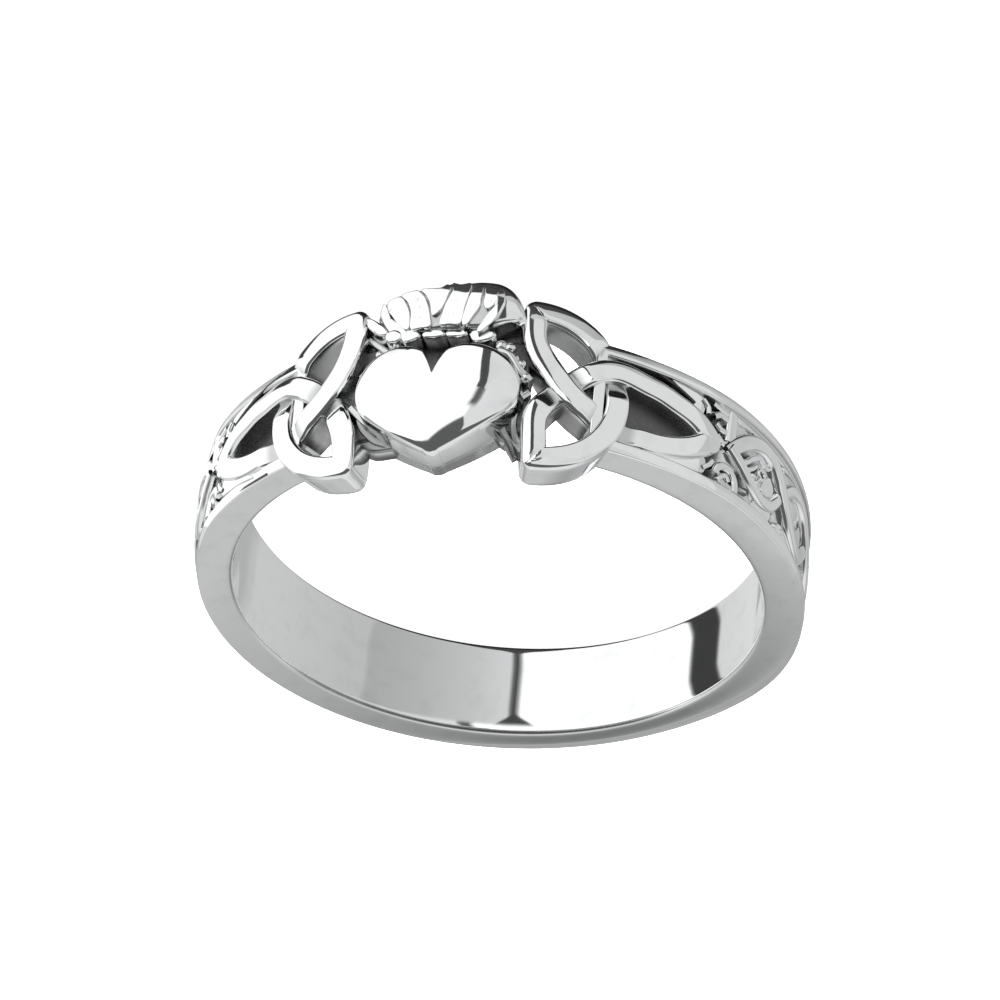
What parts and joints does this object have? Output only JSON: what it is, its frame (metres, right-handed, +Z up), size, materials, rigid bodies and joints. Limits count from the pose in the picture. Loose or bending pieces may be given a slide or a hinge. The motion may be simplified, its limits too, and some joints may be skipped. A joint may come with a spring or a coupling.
{
  "type": "claddagh ring",
  "caption": "Cast silver finger ring with a puffed heart under a crown between two pierced trinity knots and a woven channel on each shoulder.",
  "frame": {"origin": "centre of the finger hole, midway across the band", "axes": "+Z up from the floor that the ring lies on, about five degrees from the finger hole's axis, towards the heart's tip; -Y towards the heart"},
  "size_m": [0.0198, 0.0206, 0.0066],
  "materials": {
    "silver": "polished cast sterling silver, darker in the recesses"
  },
  "bodies": {
    "root": {"ring": "silver"}
  },
  "joints": []
}
